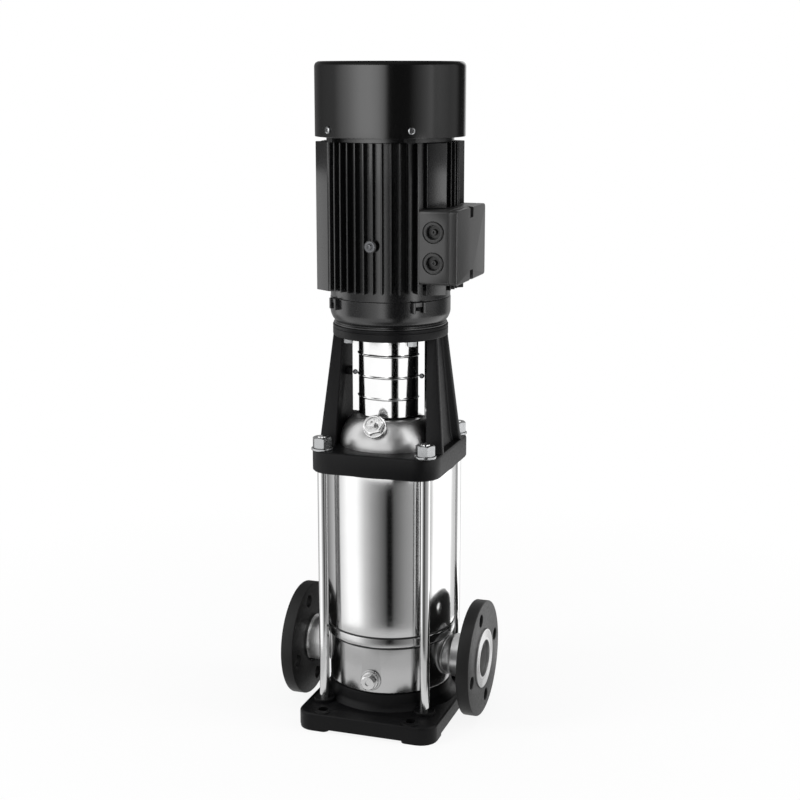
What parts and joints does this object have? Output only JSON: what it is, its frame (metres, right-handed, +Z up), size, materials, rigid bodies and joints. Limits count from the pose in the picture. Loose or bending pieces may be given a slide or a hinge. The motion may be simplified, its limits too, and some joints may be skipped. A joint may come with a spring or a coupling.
{
  "type": "vertical multistage pump",
  "caption": "Upright multistage centrifugal pump: in-line ports with loose flanges, steel sleeve, tie rods, stool, guarded coupling and finned fan-cooled motor.",
  "frame": {"origin": "on the floor, on the shaft axis, in the middle of the base plate's footprint", "axes": "+Z up along the shaft, inlet towards -X, outlet towards +X, drain and vent plugs towards -Y"},
  "size_m": [0.284, 0.246, 0.925],
  "materials": {
    "cast_iron_black": "satin black paint on cast iron",
    "steel_black": "gloss black paint on sheet steel",
    "aluminium_black": "satin black paint on cast aluminium",
    "stainless": "polished stainless steel",
    "stainless_matt": "pressed stainless steel",
    "zinc": "zinc plated steel",
    "shaft_steel": "ground steel",
    "rubber": "black elastomer",
    "copper": "enamelled copper winding",
    "lamination": "laminated steel",
    "plastic_black": "black moulded plastic",
    "plastic_grey": "grey moulded plastic",
    "seal_face": "carbide and carbon seal faces"
  },
  "bodies": {
    "pump": {"base_plate": "cast_iron_black", "lower_chamber": "stainless", "inlet_collar": "stainless", "outlet_collar": "stainless", "flange_lock_rings": "stainless", "drain_plug": "stainless", "drain_plug_washer": "rubber", "outer_sleeve": "stainless", "sleeve_seals": "rubber", "neck_rings": "seal_face", "discharge_cage": "stainless_matt", "pump_head": "stainless", "vent_plug": "stainless", "motor_stool": "cast_iron_black", "tie_rods": "zinc", "tie_rod_nuts": "zinc", "tie_rod_washers": "zinc", "front_guard": "stainless", "rear_guard": "stainless", "guard_screws": "zinc", "seal_seat": "seal_face", "drive_end_shield": "aluminium_black", "shield_bolts": "zinc", "motor_frame": "aluminium_black", "earth_screw": "zinc", "stator_core": "lamination", "stator_winding": "copper", "fan_end_shield": "aluminium_black", "fan_cover": "steel_black", "fan_cover_screws": "zinc", "drive_end_bearing": "shaft_steel", "fan_end_bearing": "shaft_steel", "terminal_box": "aluminium_black", "terminal_box_gasket": "rubber", "terminal_box_cover": "aluminium_black", "terminal_box_screws": "zinc", "gland_plugs": "plastic_black", "terminal_block": "plastic_grey", "stage_chamber_1": "stainless_matt", "stage_chamber_2": "stainless_matt", "stage_chamber_3": "stainless_matt", "stage_chamber_4": "stainless_matt", "stage_chamber_5": "stainless_matt"},
    "rotor": {"pump_shaft": "shaft_steel", "front_coupling_half": "cast_iron_black", "rear_coupling_half": "cast_iron_black", "coupling_screws": "zinc", "seal_head": "seal_face", "motor_shaft": "shaft_steel", "rotor_core": "lamination", "cooling_fan": "plastic_black", "impeller_1": "stainless_matt", "impeller_2": "stainless_matt", "impeller_3": "stainless_matt", "impeller_4": "stainless_matt", "impeller_5": "stainless_matt"},
    "inlet_flange_body": {"inlet_flange": "cast_iron_black"},
    "outlet_flange_body": {"outlet_flange": "cast_iron_black"},
    "vent_spindle_body": {"vent_spindle": "stainless"}
  },
  "joints": [
    {"name": "rotor_spin", "type": "hinge", "parent": "pump", "child": "rotor", "pos_m": [0, 0, 0.5], "axis": [0, 0, 1], "continuous": true},
    {"name": "inlet_flange_turn", "type": "hinge", "parent": "pump", "child": "inlet_flange_body", "pos_m": [-0.131, 0, 0.09], "axis": [1, 0, 0], "continuous": true},
    {"name": "outlet_flange_turn", "type": "hinge", "parent": "pump", "child": "outlet_flange_body", "pos_m": [0.131, 0, 0.09], "axis": [1, 0, 0], "continuous": true},
    {"name": "vent_spindle_turn", "type": "hinge", "parent": "pump", "child": "vent_spindle_body", "pos_m": [0, -0.0654, 0.4332], "axis": [0, -0.8192, 0.5736], "range_deg": [0, 720]}
  ]
}
